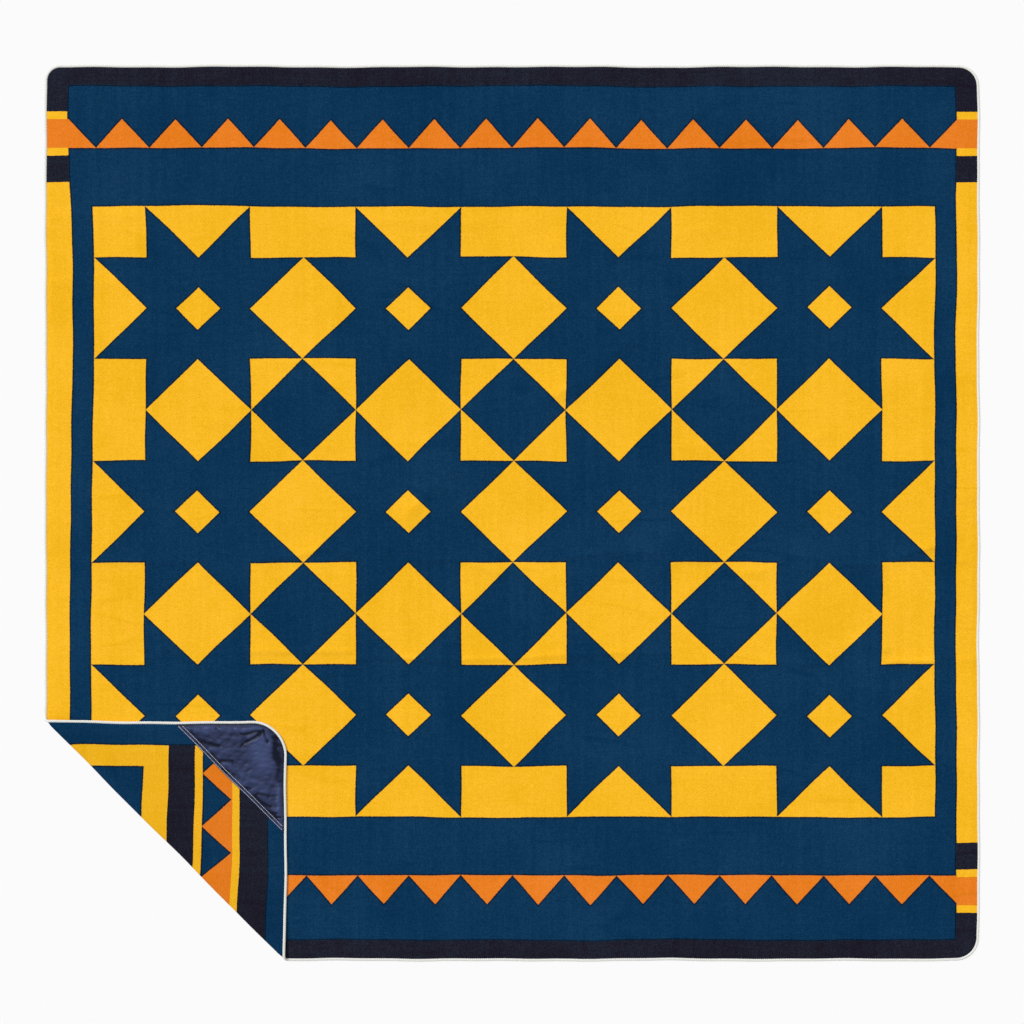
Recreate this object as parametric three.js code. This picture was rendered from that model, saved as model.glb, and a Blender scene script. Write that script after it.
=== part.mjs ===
// A woven double-cloth blanket that lies flat, face up, with one corner turned back over it.
// Three pieces: the cloth, the overlocked edge that grips its rim all the way round, and the
// thin nylon patch that is sewn over the reverse of the turned-back corner.
//
// Millimetres. X runs across the blanket, Y along it and Z up. The origin is on the ground,
// under the middle of the blanket.
//
// Each piece is first drawn on the flat blanket, where a point is x, y and its height z in the
// cloth, and is then bent into place: the corner is turned back, creases lift the cloth off the
// ground, and the edges wander a little.
import * as THREE from 'three';

// The blanket as it is cut
const WIDTH = 2030;
const LENGTH = 1945;
const THICKNESS = 4;
const CORNER_RADIUS = { leftNear: 75, rightNear: 51, rightFar: 44, leftFar: 35 };
const ARC_STEPS = 6;

// The corner that is turned back, and the roll that it turns on
const FOLD_LEG = 525; // along each edge
const ROLL_GAP = 6; // air between the layers in the roll
const LAID_GAP = 1.5; // air between them where the corner lies on the cloth
const SETTLE = 90; // from the roll to where it lies
const SLIDE = 4; // how far the laid corner has slipped along the fold, towards the right
const ROLL_STEPS = 8;
const SETTLE_STEPS = 3;

// The overlocked edge, and the rim of cloth that is pressed thin inside it
const EDGE_WIDTH = 7;
const EDGE_HEIGHT = 4.6;
const EDGE_WALL = 1;
const EDGE_NOSE = 1.6; // height of the upright outer face
const CLEARANCE = 0.3;
const RIM = 9; // from the outer edge to where the cloth starts to thin
const RIM_END = EDGE_WIDTH + 0.6; // and to where it is thin
const SLOT_END = 2; // from the outer edge to the bottom of the slot
const CLOTH_END = 2.6; // and to the cut edge of the cloth
const LEAN_FULL = 20; // near the roll the edge's sections lean along the fold
const LEAN_END = 160;

// The patch on the reverse of the corner
const PATCH_LEG = 248;
const PATCH_THICKNESS = 0.8;
const PATCH_PITCH = 17;
const PUCKER = { height: 1.1, length: 74, slant: 0.35, seam: 38 };

// How far the long edges wander inwards, and over what length
const WANDER = 1.4;
const WANDER_LENGTH = 640;

// Lines that divide the flat blanket, closer together where creases cross it
const COLUMNS = [
  { to: -240, pitch: 85 },
  { to: 270, pitch: 40 },
  { to: 715, pitch: 85 },
  { to: 925, pitch: 35 },
  { to: WIDTH / 2 - RIM, pitch: 85 },
];
const ROWS = [
  { to: -350, pitch: 88 },
  { to: -270, pitch: 17 },
  { to: -160, pitch: 55 },
  { to: -60, pitch: 17 },
  { to: 0, pitch: 60 },
  { to: 110, pitch: 28 },
  { to: 225, pitch: 58 },
  { to: 385, pitch: 32 },
  { to: LENGTH / 2 - RIM, pitch: 85 },
];

// Creases left by folding and by the weight of the cloth: where each runs on the laid blanket,
// how high it lifts the cloth, and how far it spreads to each side
const CREASES = [
  { from: [-915, -106], to: [-693, -106], high: 2.5, half: 28 },
  { from: [-555, -104], to: [-451, -90], high: 2.5, half: 28 },
  { from: [-451, -90], to: [-396, -74], high: 2.2, half: 24 },
  { from: [-396, -74], to: [-346, -88], high: 2.2, half: 24 },
  { from: [-224, -101], to: [-117, -101], high: 2.5, half: 28 },
  { from: [-117, -101], to: [-32, -128], high: 2.5, half: 28 },
  { from: [118, -99], to: [216, -82], high: 2.5, half: 28 },
  { from: [216, -82], to: [314, -90], high: 2.5, half: 28 },
  { from: [349, -106], to: [443, -106], high: 2, half: 26 },
  { from: [700, -112], to: [805, -112], high: 2.5, half: 28 },
  { from: [833, -99], to: [918, -71], high: 3.5, half: 30 },
  { from: [-577, -300], to: [-344, -300], high: 2.5, half: 28 },
  { from: [-331, -313], to: [-122, -319], high: 2.5, half: 28 },
  { from: [-126, -319], to: [225, -304], high: 2.5, half: 28 },
  { from: [225, -304], to: [319, -304], high: 2, half: 28 },
  { from: [572, -324], to: [685, -324], high: 2, half: 28 },
  { from: [748, -278], to: [809, -300], high: 3.5, half: 30 },
  { from: [822, -322], to: [918, -322], high: 3.5, half: 30 },
  { from: [-220, 3], to: [-126, 104], high: 4, half: 42 },
  { from: [260, 376], to: [184, 311], high: 3, half: 48 },
  { from: [184, 311], to: [138, 278], high: 4, half: 48 },
  { from: [138, 278], to: [51, 232], high: 5, half: 48 },
  { from: [722, 424], to: [803, 385], high: 4, half: 50 },
];

// Lengths of the roll, worked out from its gap
const DIAGONAL = Math.SQRT1_2;
const ROLL_RADIUS = THICKNESS + ROLL_GAP / 2;
const ROLL_LENGTH = (Math.PI * (THICKNESS + ROLL_GAP)) / 2;
const ROLL_START = FOLD_LEG * DIAGONAL + ROLL_RADIUS; // from the flat corner

// How far a point of the flat blanket lies past the start of the roll, towards the corner
function pastRoll(x, y) {
  return ROLL_START - (x + WIDTH / 2 + y + LENGTH / 2) * DIAGONAL;
}

function turnBack([x, y, z]) {
  const past = pastRoll(x, y);
  if (past <= 0) return [x, y, z];
  const settled = THREE.MathUtils.smoothstep(past - ROLL_LENGTH, 0, SETTLE);
  const axis = THICKNESS + THREE.MathUtils.lerp(ROLL_GAP, LAID_GAP, settled) / 2;
  const turn = Math.PI * Math.min(past / ROLL_LENGTH, 1);
  const reach = axis - z;
  const shift = past - reach * Math.sin(turn) + Math.max(0, past - ROLL_LENGTH);
  const slide = SLIDE * settled;
  return [
    x + (shift + slide) * DIAGONAL,
    y + (shift - slide) * DIAGONAL,
    axis - reach * Math.cos(turn),
  ];
}

function distanceTo(crease, x, y) {
  const [ax, ay] = crease.from;
  const [dx, dy] = [crease.to[0] - ax, crease.to[1] - ay];
  const along = ((x - ax) * dx + (y - ay) * dy) / (dx * dx + dy * dy);
  const held = THREE.MathUtils.clamp(along, 0, 1);
  return Math.hypot(x - ax - held * dx, y - ay - held * dy);
}

function liftAt(x, y) {
  const lifts = CREASES.map((crease) => {
    const share = Math.min(1, distanceTo(crease, x, y) / crease.half);
    return crease.high * (1 - share * share) ** 2;
  });
  return Math.max(...lifts);
}

// 1 where an edge stands furthest out, and down to about 0 where it is drawn in
function standOut(along) {
  const phase = (2 * Math.PI * along) / WANDER_LENGTH;
  return 0.5 + 0.35 * Math.cos(phase) + 0.15 * Math.cos(3 * phase);
}

function bend(point) {
  const [x, y, z] = turnBack(point);
  const drawnX = (x / (WIDTH / 2)) * WANDER * (1 - standOut(y));
  const drawnY = (y / (LENGTH / 2)) * WANDER * (1 - standOut(x));
  return [x - drawnX, y - drawnY, z + liftAt(x, y)];
}

// The blanket's outline, or a line that runs a distance inside it, anticlockwise
function outline(inset) {
  const corners = [
    { sx: -1, sy: -1, radius: CORNER_RADIUS.leftNear, start: Math.PI },
    { sx: 1, sy: -1, radius: CORNER_RADIUS.rightNear, start: 1.5 * Math.PI },
    { sx: 1, sy: 1, radius: CORNER_RADIUS.rightFar, start: 0 },
    { sx: -1, sy: 1, radius: CORNER_RADIUS.leftFar, start: 0.5 * Math.PI },
  ];
  return corners.flatMap(({ sx, sy, radius, start }) => {
    const points = [];
    for (let i = 0; i <= ARC_STEPS; i += 1) {
      const angle = start + (0.5 * Math.PI * i) / ARC_STEPS;
      points.push([
        sx * (WIDTH / 2 - radius) + (radius - inset) * Math.cos(angle),
        sy * (LENGTH / 2 - radius) + (radius - inset) * Math.sin(angle),
      ]);
    }
    return points;
  });
}

// Which way is out, at a point near the outline
function outwardAt([x, y]) {
  const [sx, sy] = [Math.sign(x), Math.sign(y)];
  const radius = CORNER_RADIUS[(sx < 0 ? 'left' : 'right') + (sy < 0 ? 'Near' : 'Far')];
  const toSide = WIDTH / 2 - Math.abs(x);
  const toEnd = LENGTH / 2 - Math.abs(y);
  if (toSide < radius && toEnd < radius) {
    const length = Math.hypot(radius - toSide, radius - toEnd);
    return [(sx * (radius - toSide)) / length, (sy * (radius - toEnd)) / length];
  }
  return toSide < toEnd ? [sx, 0] : [0, sy];
}

// Splits each polygon along the line where side(point) is 0
function divide(polygons, side) {
  const touching = 1e-6;
  const crossing = (a, b) => {
    const [p, q] = a[0] + a[1] < b[0] + b[1] ? [a, b] : [b, a];
    const share = side(p) / (side(p) - side(q));
    return [p[0] + (q[0] - p[0]) * share, p[1] + (q[1] - p[1]) * share];
  };
  return polygons.flatMap((polygon) => {
    const below = [];
    const above = [];
    polygon.forEach((point, i) => {
      const next = polygon[(i + 1) % polygon.length];
      const [here, there] = [side(point), side(next)];
      if (here < touching) below.push(point);
      if (here > -touching) above.push(point);
      if (Math.min(Math.abs(here), Math.abs(there)) > touching && here * there < 0) {
        const middle = crossing(point, next);
        below.push(middle);
        above.push(middle);
      }
    });
    return [below, above].filter((part) => part.some((p) => Math.abs(side(p)) > touching));
  });
}

// The places of the dividing lines that a table of spans gives
function ruledFrom(start, spans) {
  const lines = [];
  let from = start;
  for (const { to, pitch } of spans) {
    const count = Math.ceil((to - from) / pitch);
    for (let i = 1; i <= count; i += 1) lines.push(from + ((to - from) * i) / count);
    from = to;
  }
  return lines.slice(0, -1);
}

// Polygons as triangles with shared points
function weld(polygons) {
  const numbers = new Map();
  const points = [];
  const numberOf = (point) => {
    const key = point.map((value) => value.toFixed(3)).join(' ');
    if (!numbers.has(key)) {
      numbers.set(key, points.length);
      points.push(point);
    }
    return numbers.get(key);
  };
  const faces = polygons.flatMap((polygon) => {
    const ring = polygon.map(numberOf);
    return ring.slice(2).map((number, i) => [ring[0], ring[i + 1], number]);
  });
  return { points, faces };
}

// The numbers of the points round the rim of a sheet, anticlockwise
function rimOf(faces) {
  const edges = new Map();
  for (const [a, b, c] of faces) {
    for (const [from, to] of [[a, b], [b, c], [c, a]]) edges.set(`${from} ${to}`, [from, to]);
  }
  const next = new Map();
  for (const [from, to] of edges.values()) {
    if (!edges.has(`${to} ${from}`)) next.set(from, to);
  }
  const [first] = next.keys();
  const rim = [first];
  for (let at = next.get(first); at !== first; at = next.get(at)) rim.push(at);
  return rim;
}

// The faces of the band between two rings of points; the first ring is above the second on the
// outside of an anticlockwise rim
function bandBetween(upper, lower) {
  return upper.flatMap((point, i) => {
    const next = (i + 1) % upper.length;
    return [
      [point, lower[i], lower[next]],
      [point, lower[next], upper[next]],
    ];
  });
}

function geometryOf(points, faces) {
  const geometry = new THREE.BufferGeometry();
  geometry.setAttribute('position', new THREE.Float32BufferAttribute(points.flatMap(bend), 3));
  geometry.setIndex(faces.flat());
  geometry.computeVertexNormals();
  return geometry;
}

// The points round the rim where the edge is sewn, each with the way that its section runs out
function stationsOf(sheet) {
  return rimOf(sheet.faces).map((number) => {
    const point = sheet.points[number];
    const out = outwardAt(point);
    const fromRoll = Math.abs(pastRoll(...point) - ROLL_LENGTH / 2);
    const lean = 1 - THREE.MathUtils.smoothstep(fromRoll, LEAN_FULL, LEAN_END);
    const run = [out[0] + lean * Math.abs(out[1]), out[1] + lean * Math.abs(out[0])];
    return { number, point, run };
  });
}

// One ring of points for each row of a section: inset from the outer edge, and height
function ringsOf(stations, section, firstNumber) {
  const points = [];
  const rings = section.map(({ inset, z }, row) => {
    stations.forEach(({ point, run }) => {
      const out = RIM - inset;
      points.push([point[0] + run[0] * out, point[1] + run[1] * out, z]);
    });
    return stations.map((station, i) => firstNumber + row * stations.length + i);
  });
  return { points, rings };
}

function dividedBlanket() {
  let polygons = [outline(RIM)];
  for (const x of ruledFrom(-WIDTH / 2 + RIM, COLUMNS)) polygons = divide(polygons, (p) => p[0] - x);
  for (const y of ruledFrom(-LENGTH / 2 + RIM, ROWS)) polygons = divide(polygons, (p) => p[1] - y);
  for (let i = 0; i <= ROLL_STEPS + SETTLE_STEPS; i += 1) {
    const settling = Math.max(0, i - ROLL_STEPS) / SETTLE_STEPS;
    const past = (ROLL_LENGTH * Math.min(i, ROLL_STEPS)) / ROLL_STEPS + SETTLE * settling;
    polygons = divide(polygons, (p) => pastRoll(...p) - past);
  }
  return weld(polygons);
}

// A sheet's two faces, the upper one as its triangles run and the lower one turned over
function twoFaces(sheet, upperZ, lowerZ) {
  const count = sheet.points.length;
  return {
    points: [
      ...sheet.points.map(([x, y]) => [x, y, upperZ(x, y)]),
      ...sheet.points.map(([x, y]) => [x, y, lowerZ(x, y)]),
    ],
    faces: [
      ...sheet.faces,
      ...sheet.faces.map(([a, b, c]) => [a + count, c + count, b + count]),
    ],
  };
}

function clothGeometry(sheet, stations) {
  const { points, faces } = twoFaces(sheet, () => THICKNESS, () => 0);
  const thinTop = EDGE_HEIGHT - EDGE_WALL - CLEARANCE;
  const thinBase = EDGE_WALL + CLEARANCE;
  const section = [
    { inset: RIM_END, z: thinTop },
    { inset: CLOTH_END, z: thinTop },
    { inset: CLOTH_END, z: thinBase },
    { inset: RIM_END, z: thinBase },
  ];
  const made = ringsOf(stations, section, points.length);
  const rings = [
    stations.map(({ number }) => number),
    ...made.rings,
    stations.map(({ number }) => number + sheet.points.length),
  ];
  const bands = rings.slice(1).flatMap((ring, i) => bandBetween(rings[i], ring));
  return geometryOf([...points, ...made.points], [...faces, ...bands]);
}

// A C round the cloth's thin rim: over the top, down the nose, back under and into the slot
function bindingGeometry(stations) {
  const flatFrom = 0.8 * EDGE_WIDTH;
  const flatTo = 0.3 * EDGE_WIDTH;
  const section = [
    { inset: EDGE_WIDTH, z: EDGE_HEIGHT - EDGE_WALL },
    { inset: flatFrom, z: EDGE_HEIGHT },
    { inset: flatTo, z: EDGE_HEIGHT },
    { inset: 0, z: (EDGE_HEIGHT + EDGE_NOSE) / 2 },
    { inset: 0, z: (EDGE_HEIGHT - EDGE_NOSE) / 2 },
    { inset: flatTo, z: 0 },
    { inset: flatFrom, z: 0 },
    { inset: EDGE_WIDTH, z: EDGE_WALL },
    { inset: SLOT_END, z: EDGE_WALL },
    { inset: SLOT_END, z: EDGE_HEIGHT - EDGE_WALL },
  ];
  const { points, rings } = ringsOf(stations, section, 0);
  const faces = rings.flatMap((ring, i) => bandBetween(ring, rings[(i + 1) % rings.length]));
  return geometryOf(points, faces);
}

// The patch's corner of the blanket is where both distances from its sides are 0
function dividedPatch() {
  const fromSide = ([x]) => x + WIDTH / 2;
  const fromEnd = ([, y]) => y + LENGTH / 2;
  const pastLongSide = (point) => fromSide(point) + fromEnd(point) - PATCH_LEG;
  const halves = divide([outline(EDGE_WIDTH + CLEARANCE)], pastLongSide);
  let polygons = halves.filter((half) => Math.max(...half.map(pastLongSide)) < CLEARANCE);
  for (let line = PATCH_PITCH; line < PATCH_LEG - PATCH_PITCH; line += PATCH_PITCH) {
    polygons = divide(polygons, (point) => fromSide(point) - line);
    polygons = divide(polygons, (point) => fromEnd(point) - line);
  }
  return weld(polygons);
}

// How far the patch puckers off the cloth; it is held down along its seams
function puckerAt(x, y) {
  const [u, v] = [x + WIDTH / 2, y + LENGTH / 2];
  const fromSeam = Math.min(u, v, PATCH_LEG - u - v) - EDGE_WIDTH;
  const free = THREE.MathUtils.smoothstep(fromSeam, 0, PUCKER.seam);
  const turns = (2 * Math.PI) / PUCKER.length;
  const wave = Math.sin(turns * (u - PUCKER.slant * v)) * Math.cos(turns * (v + PUCKER.slant * u));
  return PUCKER.height * free * (0.5 + 0.5 * wave);
}

// The patch lies under the flat blanket, which puts it on top where the corner is turned back
function patchGeometry() {
  const sheet = dividedPatch();
  const upper = (x, y) => -CLEARANCE - puckerAt(x, y);
  const lower = (x, y) => upper(x, y) - PATCH_THICKNESS;
  const { points, faces } = twoFaces(sheet, upper, lower);
  const rim = rimOf(sheet.faces);
  const walls = bandBetween(rim, rim.map((number) => number + sheet.points.length));
  return geometryOf(points, [...faces, ...walls]);
}

function piece(name, geometry, color, roughness) {
  const material = new THREE.MeshStandardMaterial({ color, roughness, metalness: 0 });
  const mesh = new THREE.Mesh(geometry, material);
  mesh.name = name;
  return mesh;
}

const blanketSheet = dividedBlanket();
const edgeStations = stationsOf(blanketSheet);

const blanket = new THREE.Group();
blanket.add(piece('cloth', clothGeometry(blanketSheet, edgeStations), 0x123a5a, 0.95));
blanket.add(piece('binding', bindingGeometry(edgeStations), 0xdcdfd8, 0.85));
blanket.add(piece('corner_patch', patchGeometry(), 0x2d3258, 0.45));

export default blanket;
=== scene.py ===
# %% [markdown]
# # A woven blanket with one corner turned back
#
# This is a near-square double-cloth blanket that lies flat, seen from straight above. Its cloth
# is woven from two layers, one navy and one striped, and wherever the layers change places the
# colours change places on the two sides. The edge is overlocked in cream thread, and a
# three-cornered nylon patch is sewn on the reverse of the corner that is turned back.
#
# Every soft piece here is made in the same order. It is modelled on the flat blanket, where a
# pattern is easy to draw and a size is easy to check, and one function then bends it into place.

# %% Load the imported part
import math

import bmesh
import bpy
import numpy as np
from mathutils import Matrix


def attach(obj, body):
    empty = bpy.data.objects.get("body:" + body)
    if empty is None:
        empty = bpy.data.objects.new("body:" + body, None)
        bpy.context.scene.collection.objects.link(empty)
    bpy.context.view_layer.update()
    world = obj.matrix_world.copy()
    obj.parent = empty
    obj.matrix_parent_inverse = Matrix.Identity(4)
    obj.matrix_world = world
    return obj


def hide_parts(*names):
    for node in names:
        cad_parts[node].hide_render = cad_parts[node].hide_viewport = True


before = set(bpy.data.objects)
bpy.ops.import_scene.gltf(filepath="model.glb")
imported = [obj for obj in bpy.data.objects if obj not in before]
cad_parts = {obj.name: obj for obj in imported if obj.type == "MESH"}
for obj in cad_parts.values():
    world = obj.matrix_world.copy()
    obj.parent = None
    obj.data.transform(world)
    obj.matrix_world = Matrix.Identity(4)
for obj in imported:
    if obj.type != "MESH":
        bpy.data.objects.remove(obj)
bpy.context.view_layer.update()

# %% [markdown]
# ## The blanket's own measures
#
# These are the sizes that the blanket is cut and folded to, in metres. They are the same as in
# the CAD source, so a piece that is drawn with them lands where its solid is.

# %% Sizes
WIDTH = 2.030
LENGTH = 1.945
THICKNESS = 0.004
CORNER_RADIUS = {(-1, -1): 0.075, (1, -1): 0.051, (1, 1): 0.044, (-1, 1): 0.035}

FOLD_LEG = 0.525
ROLL_GAP = 0.006
LAID_GAP = 0.0015
SETTLE = 0.090
SLIDE = 0.004

DIAGONAL = math.sqrt(0.5)
ROLL_RADIUS = THICKNESS + ROLL_GAP / 2
ROLL_LENGTH = math.pi * (THICKNESS + ROLL_GAP) / 2
ROLL_START = FOLD_LEG * DIAGONAL + ROLL_RADIUS

EDGE_WIDTH = 0.007
RIM = 0.009
PATCH_LEG = 0.248
WANDER = 0.0014

print("the roll of the fold is", round(ROLL_LENGTH * 1000, 1), "mm long")

# %% [markdown]
# ## Creases
#
# A blanket that was folded on a shelf keeps faint creases when it is laid out. Each row below is
# one crease on the laid blanket, in millimetres: where it runs from and to, how high it lifts
# the cloth, and how far the lift spreads to each side. Most of them lie in two broken lines right
# across the blanket, where it was folded in three.

# %% The creases
CREASES = [
    # from x, from y, to x, to y, high, half
    (-915, -106, -693, -106, 2.5, 28),
    (-677, -88, -677, -158, 1.4, 18),
    (-555, -104, -451, -90, 2.5, 28),
    (-451, -90, -396, -74, 2.2, 24),
    (-396, -74, -346, -88, 2.2, 24),
    (-285, -90, -237, -51, 1.6, 20),
    (-224, -101, -117, -101, 2.5, 28),
    (-117, -101, -32, -128, 2.5, 28),
    (20, -99, 20, -154, 1.2, 18),
    (11, -219, 11, -287, 1.2, 18),
    (118, -99, 216, -82, 2.5, 28),
    (216, -82, 314, -90, 2.5, 28),
    (349, -106, 443, -106, 2.0, 26),
    (502, -130, 543, -130, 1.4, 22),
    (611, -125, 644, -125, 1.4, 22),
    (648, -154, 685, -154, 1.4, 22),
    (681, -77, 681, -104, 1.2, 18),
    (700, -112, 805, -112, 2.5, 28),
    (833, -99, 918, -71, 3.5, 30),
    (927, -106, 979, -106, 1.8, 22),
    (-797, -322, -734, -284, 1.8, 24),
    (-802, -426, -752, -400, 1.8, 24),
    (-577, -300, -344, -300, 2.5, 28),
    (-331, -313, -122, -319, 2.5, 28),
    (-126, -319, 225, -304, 2.5, 28),
    (225, -304, 319, -304, 2.0, 28),
    (572, -324, 685, -324, 2.0, 28),
    (748, -278, 809, -300, 3.5, 30),
    (822, -322, 918, -322, 3.5, 30),
    (979, -317, 1000, -317, 1.6, 20),
    (979, 32, 1000, 32, 1.4, 18),
    (979, -219, 1000, -219, 1.4, 18),
    (979, -502, 1000, -502, 1.4, 18),
    (-220, 3, -126, 104, 4.0, 42),
    (260, 376, 184, 311, 3.0, 48),
    (184, 311, 138, 278, 4.0, 48),
    (138, 278, 51, 232, 5.0, 48),
    (722, 424, 803, 385, 4.0, 50),
    (-296, 635, -65, 625, 1.3, 22),
    (88, 579, 210, 579, 1.3, 22),
    (-1000, 642, -828, 642, 1.3, 22),
    (-1000, 500, -810, 500, 1.4, 22),
    (-810, 500, -728, 516, 1.4, 22),
    (-728, 516, -645, 526, 1.4, 22),
    (-673, 202, -595, 202, 1.3, 22),
    (345, 143, 441, 143, 1.3, 22),
    (587, 143, 685, 167, 1.3, 22),
    (384, 611, 441, 611, 1.3, 22),
    (-233, 529, -233, 136, 0.8, 20),
    (345, 463, 345, 136, 0.8, 20),
]
RIDGE = 0.0055  # half the width of a crease's own sharp line
RIDGE_SHARE = 0.65  # the part of the lift that the sharp line takes

print(len(CREASES), "creases")

# %% [markdown]
# ## Bending the flat blanket into place
#
# A fold in cloth isn't a sharp line: the cloth runs up and over in a small roll and then settles
# on itself. Bones or a simulation could do that, but a formula keeps every piece exactly as long
# as it was cut. A point's distance past the start of the roll tells how far it has turned, and
# past the roll it lies on the blanket, upside down. NumPy does this to all points at once.

# %% Turning the corner back
def smoothstep(value, low, high):
    share = np.clip((value - low) / (high - low), 0, 1)
    return share * share * (3 - 2 * share)


def past_roll(points):
    """How far each flat point lies past the start of the roll, towards the corner."""
    from_corner = points[:, 0] + WIDTH / 2 + points[:, 1] + LENGTH / 2
    return ROLL_START - from_corner * DIAGONAL


def turn_back(points):
    past = past_roll(points)
    settled = smoothstep(past - ROLL_LENGTH, 0, SETTLE)
    axis = THICKNESS + (ROLL_GAP + (LAID_GAP - ROLL_GAP) * settled) / 2
    turn = math.pi * np.clip(past / ROLL_LENGTH, 0, 1)
    reach = axis - points[:, 2]
    shift = past - reach * np.sin(turn) + np.maximum(0, past - ROLL_LENGTH)
    shift = np.where(past > 0, shift, 0) * DIAGONAL
    slide = SLIDE * settled * DIAGONAL
    height = np.where(past > 0, axis - reach * np.cos(turn), points[:, 2])
    return np.column_stack([points[:, 0] + shift + slide, points[:, 1] + shift - slide, height])


corner = np.array([[-WIDTH / 2, -LENGTH / 2, 0.0]])
print("the flat corner comes to", turn_back(corner).round(4))

# %% Creases, slack and wandering edges
SLACK = 0.0003
SLACK_MIDDLE = 1.6  # the waves never go this far down, so slack only lifts
SLACK_WAVES = [
    # size, then two sines: radians a metre in x and in y, and the start
    (1.0, (41, 9, 1.3), (-12, 33, 0.4)),
    (0.6, (78, -31, 2.1), (22, 71, 3.0)),
]
WANDER_LENGTH = 0.640
ACROSS_WAVES = [
    (0.0008, (0, 19.7, 0.7), (4.1, 0, 1.1)),
    (0.0004, (11, 47, 0)),
]
LENGTHWAYS_WAVES = [
    (0.0008, (17.3, 0, 2.2), (0, 4.7, 0.3)),
    (0.0004, (51, -9, 0)),
]


def waves(rows, x, y):
    """A table's waves added up, each a size times its slanting sines."""
    total = 0.0
    for size, *sines in rows:
        for in_x, in_y, start in sines:
            size = size * np.sin(in_x * x + in_y * y + start)
        total = total + size
    return total


def distance_to(row, points):
    """How far each point lies from the line that a row names in millimetres."""
    start = np.array(row[0:2]) / 1000
    run = np.array(row[2:4]) / 1000 - start
    away = points[:, 0:2] - start
    along = np.clip(away @ run / (run @ run), 0, 1)
    return np.hypot(*(away - along[:, None] * run).T)


def lift_at(points):
    """How high the creases and the cloth's slack lift each placed point."""
    highest = np.zeros(len(points))
    for row in CREASES:
        distance = distance_to(row, points)
        high, half = row[4] / 1000, row[5] / 1000
        share = np.minimum(1, distance / half)
        broad = (1 - share * share) ** 2
        sharp = np.exp(-((distance / RIDGE) ** 2))
        lift = high * ((1 - RIDGE_SHARE) * broad + RIDGE_SHARE * sharp)
        highest = np.maximum(highest, lift)
    return highest + slack_at(points)


def slack_at(points):
    """The small hollows that a heavy cloth keeps when it is smoothed out by hand."""
    return SLACK * (SLACK_MIDDLE + waves(SLACK_WAVES, points[:, 0], points[:, 1]))


def stand_out(along):
    """1 where an edge stands furthest out, and down to about 0 where it is drawn in."""
    phase = 2 * math.pi * along / WANDER_LENGTH
    return 0.5 + 0.35 * np.cos(phase) + 0.15 * np.cos(3 * phase)


def wander(points):
    """How far the cloth is drawn in or pushed sideways, in x and y."""
    x, y = points[:, 0], points[:, 1]
    across = waves(ACROSS_WAVES, x, y) - x / (WIDTH / 2) * WANDER * (1 - stand_out(y))
    lengthways = waves(LENGTHWAYS_WAVES, x, y) - y / (LENGTH / 2) * WANDER * (1 - stand_out(x))
    return np.column_stack([across, lengthways])


def bend(points):
    """Flat points, with their height in the cloth, brought to where they lie."""
    placed = turn_back(points)
    moved = wander(placed)
    lift = lift_at(placed)
    return placed + np.column_stack([moved, lift])


on_highest = np.array([[0.094, 0.255, 0.0]])
print("the highest crease lifts", round(float(lift_at(on_highest)[0]) * 1000, 1), "mm")

# %% [markdown]
# ## Helpers for meshes
#
# Blender keeps a mesh's points in one long list, and NumPy can read and write that list in one
# go. An operator acts on whatever is selected, so one object at a time is selected first.

# %% Mesh helpers
def select_only(piece):
    bpy.ops.object.select_all(action="DESELECT")
    piece.select_set(True)
    bpy.context.view_layer.objects.active = piece


def newly_added(name):
    piece = bpy.context.object
    piece.name = name
    piece.data.name = name
    return piece


def points_of(piece):
    values = np.empty(len(piece.data.vertices) * 3, dtype=np.float32)
    piece.data.vertices.foreach_get("co", values)
    return values.reshape(-1, 3).astype(float)


def put_points(piece, points):
    piece.data.vertices.foreach_set("co", points.astype(np.float32).ravel())
    piece.data.update()


def write_attribute(piece, name, values):
    """Keeps three numbers for each point, which a material can read by the name."""
    attribute = piece.data.attributes.new(name, "FLOAT_VECTOR", "POINT")
    attribute.data.foreach_set("vector", values.astype(np.float32).ravel())


def apply_modifier(piece, modifier):
    select_only(piece)
    bpy.ops.object.modifier_apply(modifier=modifier.name)


def repeat_upwards(piece, count, pitch, merge=0.0):
    """Copies a piece up along z, and joins the copies' points within the merge distance."""
    row = piece.modifiers.new("stitches", "ARRAY")
    row.count = count
    row.use_relative_offset = False
    row.use_constant_offset = True
    row.constant_offset_displace = (0, 0, pitch)
    row.use_merge_vertices = merge > 0
    row.merge_threshold = merge
    apply_modifier(piece, row)


def add_tube(name, sides, radius, steps, fill="NOTHING"):
    """A tube along z, extruded from a circle; each step is how far up, and how much wider."""
    bpy.ops.object.select_all(action="DESELECT")
    bpy.ops.mesh.primitive_circle_add(vertices=sides, radius=radius, fill_type=fill)
    piece = newly_added(name)
    bpy.ops.object.mode_set(mode="EDIT")
    bpy.ops.mesh.select_all(action="SELECT")
    for rise, grow in steps:
        bpy.ops.mesh.extrude_region_move(TRANSFORM_OT_translate={"value": (0, 0, rise)})
        bpy.ops.transform.resize(value=(grow, grow, 1), center_override=(0, 0, 0))
    bpy.ops.object.mode_set(mode="OBJECT")
    return piece


def close_up(piece, reach=0.00005):
    """Joins points that lie within reach of each other, and turns every face outwards."""
    select_only(piece)
    bpy.ops.object.mode_set(mode="EDIT")
    bpy.ops.mesh.select_all(action="SELECT")
    bpy.ops.mesh.remove_doubles(threshold=reach)
    bpy.ops.mesh.normals_make_consistent(inside=False)
    bpy.ops.object.mode_set(mode="OBJECT")


def shade_smooth(piece):
    select_only(piece)
    bpy.ops.object.shade_smooth()


def triangles_of(piece):
    piece.data.calc_loop_triangles()
    return len(piece.data.loop_triangles)


bpy.ops.object.select_all(action="DESELECT")
print("helpers ready")

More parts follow.
